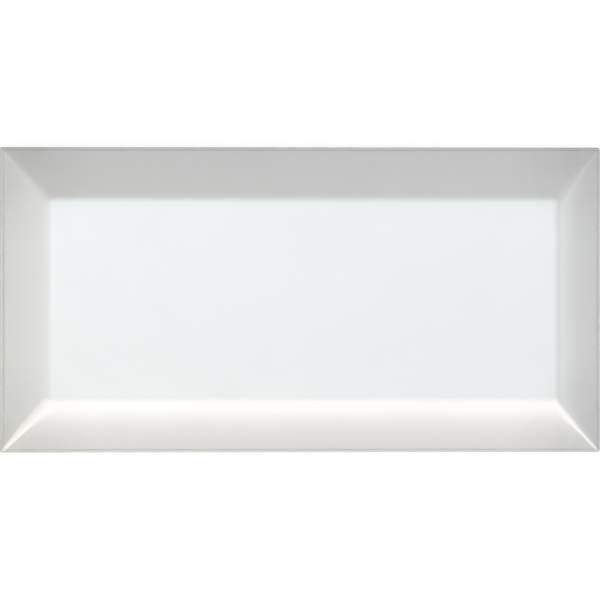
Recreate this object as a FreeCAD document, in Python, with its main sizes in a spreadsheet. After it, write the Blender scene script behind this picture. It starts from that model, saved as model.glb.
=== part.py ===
import FreeCAD, Part
import os
import Sketcher

# A bevelled subway wall tile: one piece of earthenware, dust-pressed, glazed on its face and fired.
# It lies on its back with the glazed face up. X runs along its length and Y across it.
# Z = 0 is the plane of the rib crowns on the back, and the origin is at the middle of that plane.

# Driving dimensions, in millimetres and degrees
SIZES = [
    ("length", 150.0, "long side of the tile"),
    ("width", 75.0, "short side of the tile"),
    ("thickness", 8.0, "rib crowns on the back to the flat field of the face"),
    ("bevel_drop", 2.8, "fall of every bevel, from the field to the top of the side wall"),
    ("side_bevel", 12.6, "plan width of the bevel along each long side"),
    ("end_bevel", 11.4, "plan width of the bevel along each short end"),
    ("bevel_radius", 160.0, "radius of the slight crown that every bevel has"),
    ("hip_round", 8.0, "radius of the mitred hip where two bevels meet"),
    ("field_round", 8.0, "radius between the flat field and the bevels"),
    ("corner_round", 1.2, "plan radius of the four upright corners"),
    ("arris_round", 0.9, "radius between the bevels and the side walls"),
    ("back_chamfer", 0.6, "chamfer round the foot of the side walls"),
    ("groove_depth", 0.7, "depth of the keying grooves pressed into the back"),
    ("groove_width", 4.4, "width of a groove at its mouth"),
    ("groove_draft", 30.0, "lean of the groove walls from upright"),
    ("rib_width", 3.1, "width of the rib crown left between two grooves"),
    ("back_margin", 6.0, "least plain border left round the grooves"),
]

# Two places this close count as the same place
SAME_PLACE = 1e-4

PARTS_FOLDER = "parts"

doc = FreeCAD.newDocument("subway_tile")


def make_sheet():
    sheet = doc.addObject("Spreadsheet::Sheet", "Sizes")
    for row, (alias, value, meaning) in enumerate(SIZES, start=1):
        sheet.set(f"A{row}", alias)
        sheet.set(f"B{row}", str(value))
        sheet.setAlias(f"B{row}", alias)
        sheet.set(f"C{row}", meaning)
    doc.recompute()
    return sheet


sizes = make_sheet()

tile = doc.addObject("PartDesign::Body", "BevelledTile")
tile.Label = "bevelled_tile"


# Sketching and feature helpers
def origin_feature(role):
    return next(feature for feature in tile.Origin.OriginFeatures if feature.Role == role)


def new_sketch(name, plane_role):
    sketch = tile.newObject("Sketcher::SketchObject", name)
    sketch.AttachmentSupport = [(origin_feature(plane_role), "")]
    sketch.MapMode = "FlatFace"
    return sketch


def line(start, end):
    return Part.LineSegment(FreeCAD.Vector(*start, 0), FreeCAD.Vector(*end, 0))


def join_ends(sketch, edges):
    for edge, following in zip(edges, edges[1:] + edges[:1]):
        sketch.addConstraint(Sketcher.Constraint("Coincident", edge, 2, following, 1))


def dimension(sketch, name, expression, kind, *where):
    index = sketch.addConstraint(Sketcher.Constraint(kind, *where))
    sketch.renameConstraint(index, name)
    sketch.setExpression(f"Constraints.{name}", expression)


def draw_rectangle(sketch, length, width, middle=0.0):
    """Draws a rectangle with its middle on the sketch's upright axis, and returns its four edges."""
    right, bottom, top = length / 2, middle - width / 2, middle + width / 2
    corners = [(-right, bottom), (right, bottom), (right, top), (-right, top)]
    edges = [sketch.addGeometry(line(a, b)) for a, b in zip(corners, corners[1:] + corners[:1])]
    join_ends(sketch, edges)
    for edge, direction in zip(edges, ("Horizontal", "Vertical") * 2):
        sketch.addConstraint(Sketcher.Constraint(direction, edge))
    return edges


def edges_where(test):
    """Names the edges of the tile, as it stands, that pass the test."""
    return [f"Edge{number}" for number, edge in enumerate(tile.Tip.Shape.Edges, start=1) if test(edge)]


def dress_edges(kind, name, edges, size_property, size_alias):
    """Adds a fillet or a chamfer on the named edges, with its size taken from the sheet."""
    base = tile.Tip
    feature = tile.newObject("PartDesign::" + kind, name)
    feature.Base = (base, edges)
    feature.setExpression(size_property, "Sizes." + size_alias)
    doc.recompute()


# The pressed blank: a plain block of the full thickness
def make_blank():
    sketch = new_sketch("BlankOutline", "XY_Plane")
    front, right, back, _ = draw_rectangle(sketch, sizes.length, sizes.width)
    sketch.addConstraint(Sketcher.Constraint("Symmetric", front, 1, back, 1, -1, 1))
    dimension(sketch, "length", "Sizes.length", "DistanceX", front, 1, front, 2, sizes.length)
    dimension(sketch, "width", "Sizes.width", "DistanceY", right, 1, right, 2, sizes.width)
    blank = tile.newObject("PartDesign::Pad", "Blank")
    blank.Profile = sketch
    blank.setExpression("Length", "Sizes.thickness")
    doc.recompute()


# The bevels: each takes off an upper corner of the blank, under a slope with a slight outward crown.
# The two pairs are cut square to each other, so they meet in mitred hips.
def crowned_slope(foot, crest):
    """The arc of a bevel's section, from its foot on the side wall up to its crest on the field."""
    start, end = FreeCAD.Vector(*foot, 0), FreeCAD.Vector(*crest, 0)
    chord = end - start
    outward = FreeCAD.Vector(chord.y, -chord.x, 0).normalize()
    rise = sizes.bevel_radius - (sizes.bevel_radius**2 - (chord.Length / 2) ** 2) ** 0.5
    return Part.Arc(start, start + chord / 2 + outward * rise, end)


def cut_bevel_pair(name, section_plane, mirror_plane, span_alias, run_alias):
    half_span = sizes.getPropertyByName(span_alias) / 2
    run = sizes.getPropertyByName(run_alias)
    foot = (half_span, sizes.thickness - sizes.bevel_drop)
    crest = (half_span - run, sizes.thickness)
    corner = (half_span, sizes.thickness)

    sketch = new_sketch(name + "Section", section_plane)
    slope = sketch.addGeometry(crowned_slope(foot, crest))
    top = sketch.addGeometry(line(crest, corner))
    wall = sketch.addGeometry(line(corner, foot))
    join_ends(sketch, [slope, top, wall])
    sketch.addConstraint(Sketcher.Constraint("Horizontal", top))
    sketch.addConstraint(Sketcher.Constraint("Vertical", wall))
    dimension(sketch, "crown", "Sizes.bevel_radius", "Radius", slope, sizes.bevel_radius)
    dimension(sketch, "run", "Sizes." + run_alias, "DistanceX", top, 1, top, 2, run)
    dimension(sketch, "half_span", f"Sizes.{span_alias} / 2", "DistanceX", -1, 1, wall, 1, half_span)
    dimension(sketch, "crest", "Sizes.thickness", "DistanceY", -1, 1, wall, 1, sizes.thickness)
    dimension(sketch, "drop", "Sizes.bevel_drop", "DistanceY", wall, 2, wall, 1, sizes.bevel_drop)

    bevel = tile.newObject("PartDesign::Pocket", name)
    bevel.Profile = sketch
    bevel.Type = "ThroughAll"
    bevel.SideType = "Symmetric"
    opposite = tile.newObject("PartDesign::Mirrored", name + "Opposite")
    opposite.Originals = [bevel]
    opposite.MirrorPlane = (origin_feature(mirror_plane), [""])
    tile.Tip = opposite
    doc.recompute()


# The edges of the glazed face, all softened: hips, upright corners, outer arris and rim of the field
def is_hip(edge):
    box = edge.BoundBox
    return min(box.XLength, box.YLength, box.ZLength) > SAME_PLACE


def is_upright(edge):
    box = edge.BoundBox
    return max(box.XLength, box.YLength) < SAME_PLACE


def is_outer_arris(edge):
    box = edge.BoundBox
    reach_x = max(abs(box.XMin), abs(box.XMax))
    reach_y = max(abs(box.YMin), abs(box.YMax))
    on_end_wall = abs(reach_x - sizes.length / 2) < SAME_PLACE
    on_side_wall = abs(reach_y - sizes.width / 2) < SAME_PLACE
    stands_clear_of_back = box.ZMin > SAME_PLACE
    return (on_end_wall or on_side_wall) and stands_clear_of_back and not is_upright(edge)


def is_field_rim(edge):
    return abs(edge.BoundBox.ZMin - sizes.thickness) < SAME_PLACE


def is_back_rim(edge):
    return edge.BoundBox.ZMax < SAME_PLACE


def soften_edges():
    dress_edges("Fillet", "HipRound", edges_where(is_hip), "Radius", "hip_round")
    dress_edges("Fillet", "CornerRound", edges_where(is_upright), "Radius", "corner_round")
    dress_edges("Fillet", "ArrisRound", edges_where(is_outer_arris), "Radius", "arris_round")
    dress_edges("Fillet", "FieldRound", edges_where(is_field_rim), "Radius", "field_round")
    dress_edges("Chamfer", "BackChamfer", edges_where(is_back_rim), "Size", "back_chamfer")


# The keyed back: closed grooves with drafted walls run along the tile, and the ribs left between
# them stand on the bed. As many grooves are pressed in as the width between the margins takes.
PITCH = "(Sizes.groove_width + Sizes.rib_width)"
GROOVE_COUNT = f"floor((Sizes.width - 2 * Sizes.back_margin + Sizes.rib_width) / {PITCH})"
GROOVE_HALF_LENGTH = "Sizes.length / 2 - Sizes.back_margin"
GROOVES_REACH = f"({GROOVE_COUNT} - 1) / 2 * {PITCH} + Sizes.groove_width / 2"


def press_grooves():
    width = sizes.groove_width
    pitch = width + sizes.rib_width
    count = (sizes.width - 2 * sizes.back_margin + sizes.rib_width) // pitch
    half_length = sizes.length / 2 - sizes.back_margin
    reach = (count - 1) / 2 * pitch + width / 2

    sketch = new_sketch("FirstGrooveMouth", "XY_Plane")
    near, right, _, _ = draw_rectangle(sketch, 2 * half_length, width, middle=width / 2 - reach)
    dimension(sketch, "left_half", GROOVE_HALF_LENGTH, "DistanceX", near, 1, -1, 1, half_length)
    dimension(sketch, "right_half", GROOVE_HALF_LENGTH, "DistanceX", -1, 1, near, 2, half_length)
    dimension(sketch, "width", "Sizes.groove_width", "DistanceY", right, 1, right, 2, width)
    dimension(sketch, "reach", GROOVES_REACH, "DistanceY", near, 1, -1, 1, reach)

    groove = tile.newObject("PartDesign::Pocket", "FirstGroove")
    groove.Profile = sketch
    groove.Reversed = True
    groove.setExpression("Length", "Sizes.groove_depth")
    groove.setExpression("TaperAngle", "-Sizes.groove_draft")
    doc.recompute()
    grooves = tile.newObject("PartDesign::LinearPattern", "Grooves")
    grooves.Originals = [groove]
    grooves.Direction = (origin_feature("Y_Axis"), [""])
    grooves.Mode = "Spacing"
    grooves.setExpression("Offset", PITCH)
    grooves.setExpression("Occurrences", GROOVE_COUNT)
    tile.Tip = grooves
    doc.recompute()


# A failed feature stops the script here, before anything is written
def check_model():
    for item in doc.Objects:
        if {"Invalid", "Error"} & set(item.State):
            raise RuntimeError(f"{item.Label} failed: {item.State}")
    shape = tile.Shape
    if shape.isNull() or not shape.isValid() or len(shape.Solids) != 1:
        raise RuntimeError("the tile isn't one valid solid")


make_blank()
cut_bevel_pair("SideBevel", "YZ_Plane", "XZ_Plane", "width", "side_bevel")
cut_bevel_pair("EndBevel", "XZ_Plane", "YZ_Plane", "length", "end_bevel")
soften_edges()
press_grooves()
check_model()

os.makedirs(PARTS_FOLDER, exist_ok=True)
tile.Shape.exportStep(os.path.join(PARTS_FOLDER, tile.Label + ".step"))
box = tile.Shape.optimalBoundingBox(False, False)
print(tile.Label, box, "volume", round(tile.Shape.Volume, 1), "faces", len(tile.Shape.Faces))
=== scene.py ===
import math

import bmesh
import bpy
import numpy as np
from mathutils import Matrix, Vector, noise


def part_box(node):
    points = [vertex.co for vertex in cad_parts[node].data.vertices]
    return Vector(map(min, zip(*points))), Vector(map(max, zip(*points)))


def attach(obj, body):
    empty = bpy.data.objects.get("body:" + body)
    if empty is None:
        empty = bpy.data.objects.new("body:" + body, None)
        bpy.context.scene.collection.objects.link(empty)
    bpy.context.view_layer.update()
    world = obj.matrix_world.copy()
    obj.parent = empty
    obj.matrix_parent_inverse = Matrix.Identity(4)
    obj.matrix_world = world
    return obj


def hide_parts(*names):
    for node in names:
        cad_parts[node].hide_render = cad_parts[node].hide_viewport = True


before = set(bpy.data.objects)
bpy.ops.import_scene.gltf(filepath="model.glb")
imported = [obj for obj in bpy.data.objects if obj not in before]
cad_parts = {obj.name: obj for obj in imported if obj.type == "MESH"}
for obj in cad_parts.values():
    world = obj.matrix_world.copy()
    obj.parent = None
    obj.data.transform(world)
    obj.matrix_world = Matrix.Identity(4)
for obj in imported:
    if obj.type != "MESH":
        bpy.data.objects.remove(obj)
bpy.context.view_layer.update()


# The tile is one piece of white earthenware. Its clay is pressed face up in a steel die, fired, glazed
# over the face and fired again. A flat field stands inside four crowned bevels that meet in rounded
# hips. The back is keyed with eight closed grooves, and the tile lies on the ribs between them.
MM = 0.001
TILE_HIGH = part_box("bevelled_tile")[1]
HALF_LENGTH = TILE_HIGH.x
HALF_WIDTH = TILE_HIGH.y
THICKNESS = TILE_HIGH.z
SIDE_BEVEL = 12.6 * MM
END_BEVEL = 11.4 * MM
BEVEL_DROP = 2.8 * MM
BEVEL_CROWN = 160.0 * MM
FIELD_ROUND = 11.0 * MM
HIP_ROUND = 2.7 * MM
ARRIS_ROUND = 0.4 * MM
CORNER_ROUND = 0.8 * MM

# The mesh takes this many steps over each rounding. Over the crown it has a line at each of these
# shares of the way, closer together towards the arris.
FIELD_STEPS = 8
ARRIS_STEPS = 10
CORNER_STEPS = 10
CROWN_SHARES = np.append(np.linspace(0.0, 0.9, 11), [0.94, 0.965, 0.985])


def bevel_section(bevel):
    """Inset, height and lean of the face from the field's rim to the foot of the arris, over one bevel.
    Three arcs touch one another: the field's rounding, the bevel's crown and the arris."""
    chord = math.hypot(bevel, BEVEL_DROP)
    slope = math.atan2(BEVEL_DROP, bevel)
    depth = math.sqrt(BEVEL_CROWN**2 - (chord / 2) ** 2)
    crown_in = bevel / 2 + depth * math.sin(slope)
    crown_z = THICKNESS - BEVEL_DROP / 2 - depth * math.cos(slope)
    field_z = THICKNESS - FIELD_ROUND
    field_in = crown_in - math.sqrt((BEVEL_CROWN - FIELD_ROUND) ** 2 - (field_z - crown_z) ** 2)
    arris_z = crown_z + math.sqrt((BEVEL_CROWN - ARRIS_ROUND) ** 2 - (crown_in - ARRIS_ROUND) ** 2)
    crest_lean = math.atan2(crown_in - field_in, field_z - crown_z)
    foot_lean = math.atan2(crown_in - ARRIS_ROUND, arris_z - crown_z)
    leans = (
        np.linspace(0.0, crest_lean, FIELD_STEPS, endpoint=False),
        crest_lean + (foot_lean - crest_lean) * CROWN_SHARES,
        np.linspace(foot_lean, math.pi / 2, ARRIS_STEPS + 1),
    )
    arcs = (
        (field_in, field_z, FIELD_ROUND),
        (crown_in, crown_z, BEVEL_CROWN),
        (ARRIS_ROUND, arris_z, ARRIS_ROUND),
    )
    return np.concatenate([
        np.stack([inset - radius * np.sin(lean), height + radius * np.cos(lean), lean], axis=1)
        for (inset, height, radius), lean in zip(arcs, leans)
    ])


# Stations run from the field's rim, over the bevel and down the edge to the back's border. Each has its
# inset and height on the sides and on the ends, its lean from level, its corner radius in plan and how
# far it follows the wavering foot of the glaze.
stations = []
side_section = bevel_section(SIDE_BEVEL)
end_section = bevel_section(END_BEVEL)
for (side_in, side_z, side_lean), (end_in, end_z, end_lean) in zip(side_section, end_section):
    lean = (side_lean + end_lean) / 2
    corner = CORNER_ROUND + (HIP_ROUND - CORNER_ROUND) * side_in / SIDE_BEVEL
    corner *= min(math.tan(lean) * SIDE_BEVEL / BEVEL_DROP, 1.0)
    stations.append((side_in, end_in, side_z, end_z, lean, corner, 0.0))

# The glaze is a film that ends part of the way down the upright edge, in a rounded lip. Below the lip
# the clay is bare, and a small rounding leads to the back.
GLAZE_COAT = 0.16 * MM
GLAZE_FOOT = 2.5 * MM
BACK_CHAMFER = 0.6 * MM
BACK_BORDER = 3.0 * MM
EDGE_SHARES = (0.2, 0.4, 0.6, 0.8)
FIRST_BARE_SHARE = 0.04
LIP_TURNS = (0.0, 22.5, 45.0, 67.5, 90.0)
CHAMFER_TURNS = (0.0, 15.0, 35.0, 55.0, 75.0, 90.0)


def edge_station(inset, height, lean_degrees, follow=0.0):
    """A station on the upright edge or the back, with the same inset and height all the way round."""
    corner = max(CORNER_ROUND - inset, 0.0)
    stations.append((inset, inset, height, height, math.radians(lean_degrees), corner, follow))


arris_foot = side_section[-1][1]
lip_top = GLAZE_FOOT + GLAZE_COAT
for share in EDGE_SHARES:
    edge_station(0.0, arris_foot + share * (lip_top - arris_foot), 90.0, share)
for turn in LIP_TURNS:
    sweep = math.radians(turn)
    edge_station(
        GLAZE_COAT * (1 - math.cos(sweep)), lip_top - GLAZE_COAT * math.sin(sweep), 90.0 + turn, 1.0
    )
glazed_stations = len(stations) - 1
chamfer_top = BACK_CHAMFER + GLAZE_COAT
for share in (FIRST_BARE_SHARE, *EDGE_SHARES):
    edge_station(GLAZE_COAT, GLAZE_FOOT + share * (chamfer_top - GLAZE_FOOT), 90.0, 1.0 - share)
for turn in CHAMFER_TURNS:
    sweep = math.radians(turn)
    edge_station(
        GLAZE_COAT + chamfer_top * (1 - math.cos(sweep)), chamfer_top * (1 - math.sin(sweep)), 90.0 + turn
    )
edge_station(BACK_BORDER, 0.0, 180.0)

# The grooves of the back have a rounded lip, a leaning wall and a flat bed. Rise is the share of the
# depth that is reached at each line across the wall.
GROOVE_COUNT = 8
GROOVE_PITCH = 7.5 * MM
GROOVE_HALF_WIDTH = 2.2 * MM
GROOVE_HALF_LENGTH = HALF_LENGTH - 6.0 * MM
GROOVE_DEPTH = 0.7 * MM
GROOVE_WALL = 0.4 * MM
GROOVE_LIP = 0.25 * MM
GROOVE_RISE = np.array([0.0, 0.06, 0.5, 0.94, 1.0])
groove_lines = np.array([-GROOVE_LIP, 0.0, GROOVE_WALL / 2, GROOVE_WALL, GROOVE_WALL + GROOVE_LIP])
groove_centres = (np.arange(GROOVE_COUNT) - (GROOVE_COUNT - 1) / 2) * GROOVE_PITCH

# The mesh's lines across the tile are close together where the grooves have their lips and walls.
MIDDLE_LINES = 64
MIDDLE_STOP = 2.0 * MM
END_MARGIN_LINE = 1.4 * MM
SIDE_MARGIN_LINES = 4
SIDE_MARGIN_START = 3.6 * MM
SAME_LINE_DECIMALS = 9
back_half_length = HALF_LENGTH - BACK_BORDER
back_half_width = HALF_WIDTH - BACK_BORDER
half_lines = np.unique(np.concatenate([
    np.linspace(0.0, GROOVE_HALF_LENGTH - MIDDLE_STOP, MIDDLE_LINES),
    GROOVE_HALF_LENGTH - groove_lines,
    [GROOVE_HALF_LENGTH + END_MARGIN_LINE, back_half_length],
]))
x_lines = np.concatenate([-half_lines[:0:-1], half_lines])
margin_lines = np.linspace(groove_centres[-1] + SIDE_MARGIN_START, back_half_width, SIDE_MARGIN_LINES)
wall_lines = GROOVE_HALF_WIDTH - groove_lines
y_lines = np.concatenate(
    [groove_centres, groove_centres[:-1] + GROOVE_PITCH / 2, margin_lines, -margin_lines]
    + [groove_centres + side * line for line in wall_lines for side in (-1, 1)]
)
y_lines = np.unique(y_lines.round(SAME_LINE_DECIMALS))
long_shares = x_lines / back_half_length
short_shares = y_lines / back_half_width

# A ring goes once round the tile. Its points keep their share of each straight run and their bearing
# round each corner, so that rings of any size join up point to point.
shares = []
bearings = []
corner_turns = np.linspace(0.0, math.pi / 2, CORNER_STEPS + 1)[1:-1]
for quarter in range(4):
    facing = quarter * math.pi / 2 - math.pi / 2
    outward = np.array([round(math.cos(facing)), round(math.sin(facing))])
    along = np.array([-outward[1], outward[0]])
    for share in long_shares if quarter % 2 == 0 else short_shares:
        shares.append(outward + share * along)
        bearings.append(facing)
    for turn in corner_turns:
        shares.append(outward + along)
        bearings.append(facing + turn)
shares = np.array(shares)
facing_x = np.cos(bearings)
facing_y = np.sin(bearings)
ring_size = len(bearings)
side_ins, end_ins, side_heights, end_heights, leans, corners, follows = (
    column[:, None] for column in np.array(stations).T
)
ring_x = shares[:, 0] * (HALF_LENGTH - end_ins - corners) + corners * facing_x
ring_y = shares[:, 1] * (HALF_WIDTH - side_ins - corners) + corners * facing_y
ring_z = end_heights * facing_x**2 + side_heights * facing_y**2
ring_lean = np.broadcast_to(leans, ring_x.shape)
ring_normals = np.stack(
    [np.sin(ring_lean) * facing_x, np.sin(ring_lean) * facing_y, np.cos(ring_lean)], axis=2
).reshape(-1, 3)

# The lip of the glaze wavers up and down along the edge, as far as the wet glaze ran.
GLAZE_FOOT_WAVER = 0.45 * MM
GLAZE_FOOT_RUN = 14.0 * MM
lip_line = zip(ring_x[glazed_stations], ring_y[glazed_stations])
lip_waver = np.array([noise.noise(Vector((x, y, 0.0)) / GLAZE_FOOT_RUN) for x, y in lip_line])
ring_z += follows * GLAZE_FOOT_WAVER * lip_waver
ring_points = np.stack([ring_x, ring_y, ring_z], axis=2).reshape(-1, 3)

# The field and the back are grids that end on the first ring and on the last.
field_x = long_shares * (HALF_LENGTH - end_section[0][0])
field_y = short_shares * (HALF_WIDTH - side_section[0][0])
field_points = np.stack(np.meshgrid(field_x, field_y, [THICKNESS], indexing="ij"), axis=-1).reshape(-1, 3)
back_x, back_y = np.meshgrid(x_lines, y_lines, indexing="ij")
nearest_groove = np.abs(back_y[..., None] - groove_centres).min(axis=-1)
inside_groove = np.minimum(GROOVE_HALF_WIDTH - nearest_groove, GROOVE_HALF_LENGTH - np.abs(back_x))
back_z = np.interp(inside_groove, groove_lines, GROOVE_RISE * GROOVE_DEPTH)
back_points = np.stack([back_x, back_y, back_z], axis=-1).reshape(-1, 3)

# The fired glaze lies in slow waves, a hundredth of a millimetre or two deep, with a finer ripple.
WAVE_DEPTH = 0.03 * MM
WAVE_LENGTH = 13.0 * MM
RIPPLE_SHARE = 0.25
RIPPLE_FINENESS = 2.3


def wave(point):
    """How far the glaze lies below its highest level at this point."""
    near = Vector(point) / WAVE_LENGTH
    ripple = noise.noise(near * RIPPLE_FINENESS)
    swell = (1.0 - RIPPLE_SHARE) * noise.noise(near) + RIPPLE_SHARE * ripple
    return WAVE_DEPTH * min(max((1.0 + swell) / 2, 0.0), 1.0)


glazed_points = glazed_stations * ring_size
ring_waves = np.array([wave(point) for point in ring_points[:glazed_points]])
ring_points[:glazed_points] -= ring_waves[:, None] * ring_normals[:glazed_points]
field_points[:, 2] -= [wave(point) for point in field_points]

ring_index = np.arange(len(ring_points)).reshape(len(stations), ring_size)
next_index = np.roll(ring_index, -1, axis=1)
ring_faces = np.stack(
    [ring_index[:-1], ring_index[1:], next_index[1:], next_index[:-1]], axis=-1
).reshape(-1, 4)


def grid_faces(start):
    """The four-sided faces of a grid of points, counted from its first point."""
    index = start + np.arange(len(x_lines) * len(y_lines)).reshape(len(x_lines), len(y_lines))
    face_corners = [index[:-1, :-1], index[1:, :-1], index[1:, 1:], index[:-1, 1:]]
    return np.stack(face_corners, axis=-1).reshape(-1, 4)


field_start = len(ring_points)
back_start = field_start + len(field_points)
field_faces = grid_faces(field_start)
back_faces = grid_faces(back_start)[:, ::-1]
tile_points = np.concatenate([ring_points, field_points, back_points])
tile_faces = np.concatenate([ring_faces, field_faces, back_faces])
GLAZED, BARE = 0, 1
face_finish = np.concatenate([
    np.where(np.arange(len(ring_faces)) < glazed_points, GLAZED, BARE),
    np.full(len(field_faces), GLAZED),
    np.full(len(back_faces), BARE),
])
tile_mesh = bpy.data.meshes.new("glazed_tile")
tile_mesh.from_pydata(tile_points.tolist(), [], tile_faces.tolist())
tile_mesh.polygons.foreach_set("material_index", face_finish)
tile_mesh.polygons.foreach_set("use_smooth", np.ones(len(face_finish), dtype=bool))

# Glaze draws thin in a line along each arris, where the clay greys it. The line is made darker near its ends
# with painted shade, and a painted shade lies a little over each corner.
THIN_SHADED_LINE_INSET = 0.74 * MM
THIN_SHADED_LINE_SPREAD = 0.17 * MM
THIN_SHADED_LINE_MIDDLE = 0.76
PAINTED_CORNER_SHADE = 0.49
PAINTED_CORNER_SHADE_REACH = 24.0 * MM
edge_insets = np.array([HALF_LENGTH, HALF_WIDTH]) - np.abs(tile_points[:, :2])
thin_shaded_lines = np.exp(-(((edge_insets - THIN_SHADED_LINE_INSET) / THIN_SHADED_LINE_SPREAD) ** 2)).max(axis=1)
corner_near = np.clip(1.0 - np.hypot(*edge_insets.T) / PAINTED_CORNER_SHADE_REACH, 0.0, 1.0)
thin_shaded_lines *= THIN_SHADED_LINE_MIDDLE + (1.0 - THIN_SHADED_LINE_MIDDLE) * corner_near
# This mask is part real thin glaze along the arris and part painted shade near the arris's ends and in the
# corners.
thin_glaze_and_shade = np.maximum(thin_shaded_lines, PAINTED_CORNER_SHADE * corner_near) * (tile_points[:, 2] > arris_foot)
tile_mesh.attributes.new("thin_glaze_and_shade", "FLOAT", "POINT").data.foreach_set("value", thin_glaze_and_shade)

# The rings and the grids meet in doubled points, which are welded into one closed skin.
WELD_REACH = 0.002 * MM
skin = bmesh.new()
skin.from_mesh(tile_mesh)
bmesh.ops.remove_doubles(skin, verts=skin.verts, dist=WELD_REACH)
skin.to_mesh(tile_mesh)
skin.free()
tile = bpy.data.objects.new("glazed_tile", tile_mesh)
bpy.context.collection.objects.link(tile)


def feed(tree, socket, source):
    """Link a socket to its source, or set it where the source is a plain value."""
    if isinstance(source, bpy.types.NodeSocket):
        tree.links.new(source, socket)
    else:
        socket.default_value = source


def worked_out(tree, operation, *values, clamp=False):
    """The result of a sum on sockets and numbers."""
    node = tree.nodes.new("ShaderNodeMath")
    node.operation = operation
    node.use_clamp = clamp
    for socket, value in zip(node.inputs, values):
        feed(tree, socket, value)
    return node.outputs["Value"]


def new_group(name, inputs, output):
    """A shader node group with float inputs and one float output, with its input and output nodes."""
    group = bpy.data.node_groups.new(name, "ShaderNodeTree")
    for socket, default in inputs.items():
        entry = group.interface.new_socket(socket, in_out="INPUT", socket_type="NodeSocketFloat")
        entry.default_value = default
    group.interface.new_socket(output, in_out="OUTPUT", socket_type="NodeSocketFloat")
    return group, group.nodes.new("NodeGroupInput"), group.nodes.new("NodeGroupOutput")


# Fired clay and glaze are never one even tone. Clouds gives a value about 1 that drifts over the surface.
NOISE_MIDDLE = 0.5
clouds, clouds_in, clouds_out = new_group("fired_clouds", {"Scale": 80.0, "Depth": 0.02}, "Tone")
place = clouds.nodes.new("ShaderNodeTexCoord")
drift = clouds.nodes.new("ShaderNodeTexNoise")
drift.inputs["Detail"].default_value = 3.0
drift.inputs["Roughness"].default_value = 0.55
feed(clouds, drift.inputs["Vector"], place.outputs["Object"])
feed(clouds, drift.inputs["Scale"], clouds_in.outputs["Scale"])
swing = worked_out(clouds, "SUBTRACT", drift.outputs["Fac"], NOISE_MIDDLE)
tone = worked_out(clouds, "MULTIPLY_ADD", swing, clouds_in.outputs["Depth"], 1.0)
feed(clouds, clouds_out.inputs["Tone"], tone)

# Specks are the stray dark grains and pinholes of pressed clay. Share is the part of the cells with one.
specks, specks_in, specks_out = new_group(
    "kiln_specks", {"Scale": 120.0, "Size": 0.02, "Share": 0.06}, "Mask"
)
place = specks.nodes.new("ShaderNodeTexCoord")
cells = specks.nodes.new("ShaderNodeTexVoronoi")
feed(specks, cells.inputs["Vector"], place.outputs["Object"])
feed(specks, cells.inputs["Scale"], specks_in.outputs["Scale"])
inside = specks.nodes.new("ShaderNodeMapRange")
inside.interpolation_type = "SMOOTHSTEP"
inside.inputs["To Min"].default_value = 1.0
inside.inputs["To Max"].default_value = 0.0
feed(specks, inside.inputs["Value"], cells.outputs["Distance"])
feed(specks, inside.inputs["From Max"], specks_in.outputs["Size"])
cell_draw = specks.nodes.new("ShaderNodeSeparateColor")
feed(specks, cell_draw.inputs["Color"], cells.outputs["Color"])
chosen = worked_out(specks, "LESS_THAN", cell_draw.outputs["Red"], specks_in.outputs["Share"])
mask = worked_out(specks, "MULTIPLY", inside.outputs["Result"], chosen)
feed(specks, specks_out.inputs["Mask"], mask)


def new_material(name, **shader_values):
    """A material whose shader carries these values, with its node tree and its shader node."""
    material = bpy.data.materials.new(name)
    material.use_nodes = True
    shader = material.node_tree.nodes["Principled BSDF"]
    for socket, value in shader_values.items():
        shader.inputs[socket.replace("_", " ")].default_value = value
    return material, material.node_tree, shader


def effect(tree, group, output, **values):
    """What a node group puts out in this material, with these values."""
    node = tree.nodes.new("ShaderNodeGroup")
    node.node_tree = group
    for socket, value in values.items():
        node.inputs[socket].default_value = value
    return node.outputs[output]


def cloud_share(tree, **values):
    """Clouds as a share from 0 to 1, a half where the tone is even."""
    return worked_out(tree, "SUBTRACT", effect(tree, clouds, "Tone", **values), NOISE_MIDDLE, clamp=True)


def tinted(tree, share, ground, stain):
    """A colour that goes from ground to stain as the share rises. Ground and stain are sockets or colours."""
    mix = tree.nodes.new("ShaderNodeMix")
    mix.data_type = "RGBA"
    feed(tree, mix.inputs["Factor"], share)
    feed(tree, mix.inputs["A"], ground)
    feed(tree, mix.inputs["B"], stain)
    return mix.outputs["Result"]


def add_bump(tree, shader, height, depth):
    """Relief of that depth on the shader's surface."""
    bump = tree.nodes.new("ShaderNodeBump")
    bump.inputs["Distance"].default_value = depth
    feed(tree, bump.inputs["Height"], height)
    feed(tree, shader.inputs["Normal"], bump.outputs["Normal"])


# The glaze is an opaque white glass. It draws thin over the arris, where the clay greys it, and the same
# grey paints shade near the arris's ends and in the corners. Its surface has a faint orange peel.
GLAZE_WHITE = (0.75, 0.75, 0.75, 1.0)
GLAZE_DEEP = (0.73, 0.73, 0.73, 1.0)
GLAZE_THIN_AND_SHADE = (0.46, 0.46, 0.45, 1.0)
GLAZE_SPECK = (0.42, 0.41, 0.38, 1.0)
GLAZE_ROUGHNESS = 0.06
PEEL_DEPTH = 0.0022 * MM
glaze, tree, shader = new_material("white_glaze", IOR=1.65)
milk = cloud_share(tree, Scale=75.0, Depth=1.6)
colour = tinted(tree, milk, GLAZE_WHITE, GLAZE_DEEP)
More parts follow.
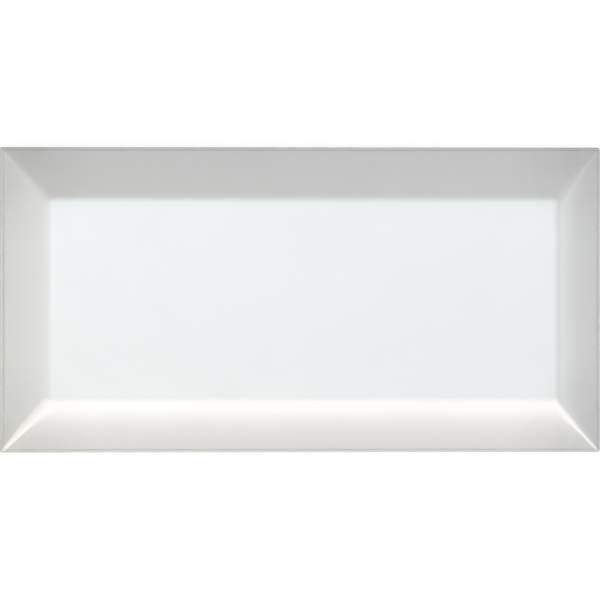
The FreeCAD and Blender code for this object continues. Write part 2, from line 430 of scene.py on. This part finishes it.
# The grey goes where the mask says: real thin glaze on the arris, painted shade near its ends and in the
# corners.
thin_and_shade_here = tree.nodes.new("ShaderNodeAttribute")
thin_and_shade_here.attribute_name = "thin_glaze_and_shade"
thin_and_shade_break = effect(tree, clouds, "Tone", Scale=160.0, Depth=1.2)
thin_and_shade_share = worked_out(tree, "MULTIPLY", thin_and_shade_here.outputs["Fac"], thin_and_shade_break, clamp=True)
colour = tinted(tree, thin_and_shade_share, colour, GLAZE_THIN_AND_SHADE)
stray = effect(tree, specks, "Mask", Scale=110.0, Size=0.022, Share=0.07)
feed(tree, shader.inputs["Base Color"], tinted(tree, stray, colour, GLAZE_SPECK))
gloss = effect(tree, clouds, "Tone", Scale=45.0, Depth=0.6)
feed(tree, shader.inputs["Roughness"], worked_out(tree, "MULTIPLY", gloss, GLAZE_ROUGHNESS))
peel = effect(tree, clouds, "Tone", Scale=420.0, Depth=1.0)
add_bump(tree, shader, worked_out(tree, "SUBTRACT", peel, stray), PEEL_DEPTH)

# The bare clay of the edges' feet and the back is a chalky, open-grained biscuit with fine pores.
BISCUIT_CREAM = (0.70, 0.645, 0.555, 1.0)
BISCUIT_BUFF = (0.60, 0.53, 0.435, 1.0)
BISCUIT_PORE = (0.30, 0.25, 0.20, 1.0)
BISCUIT_ROUGHNESS = 0.86
GRAIN_DEPTH = 0.06 * MM
biscuit, tree, shader = new_material("bare_biscuit", IOR=1.5)
buff = cloud_share(tree, Scale=140.0, Depth=2.2)
colour = tinted(tree, buff, BISCUIT_CREAM, BISCUIT_BUFF)
pores = effect(tree, specks, "Mask", Scale=900.0, Size=0.28, Share=0.22)
feed(tree, shader.inputs["Base Color"], tinted(tree, pores, colour, BISCUIT_PORE))
chalk = effect(tree, clouds, "Tone", Scale=260.0, Depth=0.3)
chalk_roughness = worked_out(tree, "MULTIPLY", chalk, BISCUIT_ROUGHNESS, clamp=True)
feed(tree, shader.inputs["Roughness"], chalk_roughness)
grain = effect(tree, clouds, "Tone", Scale=2400.0, Depth=1.6)
add_bump(tree, shader, worked_out(tree, "SUBTRACT", grain, pores), GRAIN_DEPTH)

tile_mesh.materials.append(glaze)
tile_mesh.materials.append(biscuit)
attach(tile, "root")
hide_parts("bevelled_tile")


# The floor is a wide matt white board that the tile lies on. The camera and the glaze see it white,
# and the tile's shadow on it stays.
FLOOR_HALF = 3.0
FLOOR_DROP = 0.05 * MM
FLOOR_WHITE = (0.80, 0.80, 0.80, 1.0)
FLOOR_SEEN = (0.18, 0.18, 0.18, 1.0)
FLOOR_GLOW = 0.91
PURE_WHITE = (1.0, 1.0, 1.0, 1.0)
floor_mesh = bpy.data.meshes.new("floor_board")
floor_mesh.from_pydata(
    [(x * FLOOR_HALF, y * FLOOR_HALF, -FLOOR_DROP) for x, y in ((-1, -1), (1, -1), (1, 1), (-1, 1))],
    [],
    [(0, 1, 2, 3)],
)
floor = bpy.data.objects.new("floor_board", floor_mesh)
bpy.context.collection.objects.link(floor)
board, tree, shader = new_material("matt_board", Roughness=1.0, Specular_IOR_Level=0.0)


def seen_rays(tree):
    """1 for rays that look, from the camera, a gloss or a glass, and 0 for rays that only carry light."""
    path = tree.nodes.new("ShaderNodeLightPath")
    looks = worked_out(tree, "MAXIMUM", path.outputs["Is Camera Ray"], path.outputs["Is Glossy Ray"])
    return worked_out(tree, "MAXIMUM", looks, path.outputs["Is Transmission Ray"])


seen = seen_rays(tree)
feed(tree, shader.inputs["Base Color"], tinted(tree, seen, FLOOR_WHITE, FLOOR_SEEN))
shader.inputs["Emission Color"].default_value = PURE_WHITE
feed(tree, shader.inputs["Emission Strength"], worked_out(tree, "MULTIPLY", seen, FLOOR_GLOW))
floor_mesh.materials.append(board)


# Two softboxes hang about a metre above the tile, the strip a little lower, so that they don't lie in
# one plane. The field mirrors the cool one overhead, and the warm strip shows in the near bevel's rim.
# Each fades towards its edges: a stop is an angle, seen from the tile, and a share of the brightness.
OVERHEAD_HEIGHT = 1.0
OVERHEAD_COLOUR = (0.83, 0.94, 1.0, 1.0)
OVERHEAD_BRIGHTNESS = 4.65
OVERHEAD_ALONG = (
    (-25, 0.0), (-14, 0.6), (-5, 0.6), (4.5, 1.08), (17, 0.87),
    (31, 0.36), (37.5, 0.6), (41, 0.1), (46, 0.0),
)
OVERHEAD_ACROSS = (
    (-10.5, 0.0), (-6, 0.9), (-1, 0.87), (1.5, 1.06), (4, 0.74), (12, 0.38), (17.5, 0.0),
)
STRIP_HEIGHT = 0.96
STRIP_COLOUR = (1.0, 0.945, 0.92, 1.0)
STRIP_BRIGHTNESS = 6.0
STRIP_ALONG = (
    (-24, 0.0), (-14, 0.95), (5, 1.08), (13.5, 0.97), (20, 1.15), (26, 1.1), (34, 0.0),
)
STRIP_ACROSS = (
    (-32, 0.0), (-29, 0.12), (-26, 0.38), (-23.5, 0.9), (-16, 1.0), (-9, 0.62), (-5.5, 0.0),
)


def reach(degrees):
    """How far out an angle from the tile comes at a height of 1."""
    return math.tan(math.radians(degrees))


def softbox_fade(tree, place, stops):
    """The lamp's brightness in one direction, through these stops from one edge to the other."""
    first = reach(stops[0][0])
    span = reach(stops[-1][0]) - first
    ramp = tree.nodes.new("ShaderNodeValToRGB")
    elements = ramp.color_ramp.elements
    while len(elements) < len(stops):
        elements.new(1.0)
    for element, (degrees, share) in zip(elements, stops):
        element.position = (reach(degrees) - first) / span
        element.color = (share, share, share, 1.0)
    feed(tree, ramp.inputs["Fac"], place)
    return ramp.outputs["Color"]


def hang_softbox(name, height, colour, brightness, along, across):
    """A lamp over the tile, as bright as written where both fades are 1. Its power is the one at which
    the strength of its emission is the brightness that a mirror shows."""
    low_x, high_x, low_y, high_y = (
        height * reach(degrees) for degrees in (along[0][0], along[-1][0], across[0][0], across[-1][0])
    )
    lamp = bpy.data.lights.new(name, "AREA")
    lamp.shape = "RECTANGLE"
    lamp.size = high_x - low_x
    lamp.size_y = high_y - low_y
    lamp.energy = math.pi * lamp.size * lamp.size_y
    lamp.use_nodes = True
    tree = lamp.node_tree
    panel = tree.nodes.new("ShaderNodeNewGeometry")
    place = tree.nodes.new("ShaderNodeSeparateXYZ")
    feed(tree, place.inputs["Vector"], panel.outputs["Parametric"])
    fade_along = softbox_fade(tree, place.outputs["X"], along)
    fade_across = softbox_fade(tree, place.outputs["Y"], across)
    fade = worked_out(tree, "MULTIPLY", fade_along, fade_across)
    emission = tree.nodes["Emission"]
    emission.inputs["Color"].default_value = colour
    feed(tree, emission.inputs["Strength"], worked_out(tree, "MULTIPLY", fade, brightness))
    softbox = bpy.data.objects.new(name, lamp)
    softbox.location = ((low_x + high_x) / 2, (low_y + high_y) / 2, height)
    softbox.visible_camera = False
    bpy.context.collection.objects.link(softbox)


hang_softbox(
    "overhead_softbox",
    OVERHEAD_HEIGHT,
    OVERHEAD_COLOUR,
    OVERHEAD_BRIGHTNESS,
    OVERHEAD_ALONG,
    OVERHEAD_ACROSS,
)
hang_softbox("strip_softbox", STRIP_HEIGHT, STRIP_COLOUR, STRIP_BRIGHTNESS, STRIP_ALONG, STRIP_ACROSS)

# A warm panel stands low at the near left, closer than the softboxes hang. It lights the bevels that
# face it, and its light falls off towards the far right.
SIDE_PANEL_COLOUR = (1.0, 0.94, 0.75)
SIDE_PANEL_POWER = 2.15
SIDE_PANEL_SIZE = (0.95, 0.54)
SIDE_PANEL_AWAY = 0.65
SIDE_PANEL_LOW = math.radians(66.0)
SIDE_PANEL_TURN = math.radians(50.0)
side_lamp = bpy.data.lights.new("side_panel", "AREA")
side_lamp.shape = "RECTANGLE"
side_lamp.size, side_lamp.size_y = SIDE_PANEL_SIZE
side_lamp.energy = SIDE_PANEL_POWER
side_lamp.color = SIDE_PANEL_COLOUR
side_panel = bpy.data.objects.new("side_panel", side_lamp)
side_panel.location = SIDE_PANEL_AWAY * Vector((
    -math.sin(SIDE_PANEL_LOW) * math.sin(SIDE_PANEL_TURN),
    -math.sin(SIDE_PANEL_LOW) * math.cos(SIDE_PANEL_TURN),
    math.cos(SIDE_PANEL_LOW),
))
side_panel.rotation_euler = side_panel.location.to_track_quat("Z", "Y").to_euler()
side_panel.visible_camera = False
bpy.context.collection.objects.link(side_panel)

# The room behind the lamps is white where it is looked at, and dim as a source of light, so that the
# lamps alone shade the tile.
ROOM_LIGHT = 0.02
room = bpy.data.worlds.new("white_room")
room.use_nodes = True
tree = room.node_tree
room_level = tree.nodes.new("ShaderNodeMapRange")
room_level.inputs["To Min"].default_value = ROOM_LIGHT
feed(tree, room_level.inputs["Value"], seen_rays(tree))
backdrop = tree.nodes["Background"]
backdrop.inputs["Color"].default_value = PURE_WHITE
feed(tree, backdrop.inputs["Strength"], room_level.outputs["Result"])
bpy.context.scene.world = room


# The camera looks down on the face with a long lens, leaned over to the left so that the left bevel
# shows wider than the right one.
LENS = 1600.0
CAMERA_AWAY = 6.55
CAMERA_LEAN = math.radians(10.7)
CAMERA_AIM = Vector((-0.75 * MM, -0.03 * MM, THICKNESS))
camera = bpy.data.objects.new("camera", bpy.data.cameras.new("camera"))
camera.data.lens = LENS
camera.rotation_euler = (0.0, -CAMERA_LEAN, 0.0)
camera.location = CAMERA_AIM + CAMERA_AWAY * Vector((-math.sin(CAMERA_LEAN), 0.0, math.cos(CAMERA_LEAN)))
bpy.context.collection.objects.link(camera)
bpy.context.scene.camera = camera
bpy.context.scene.view_settings.view_transform = "Standard"
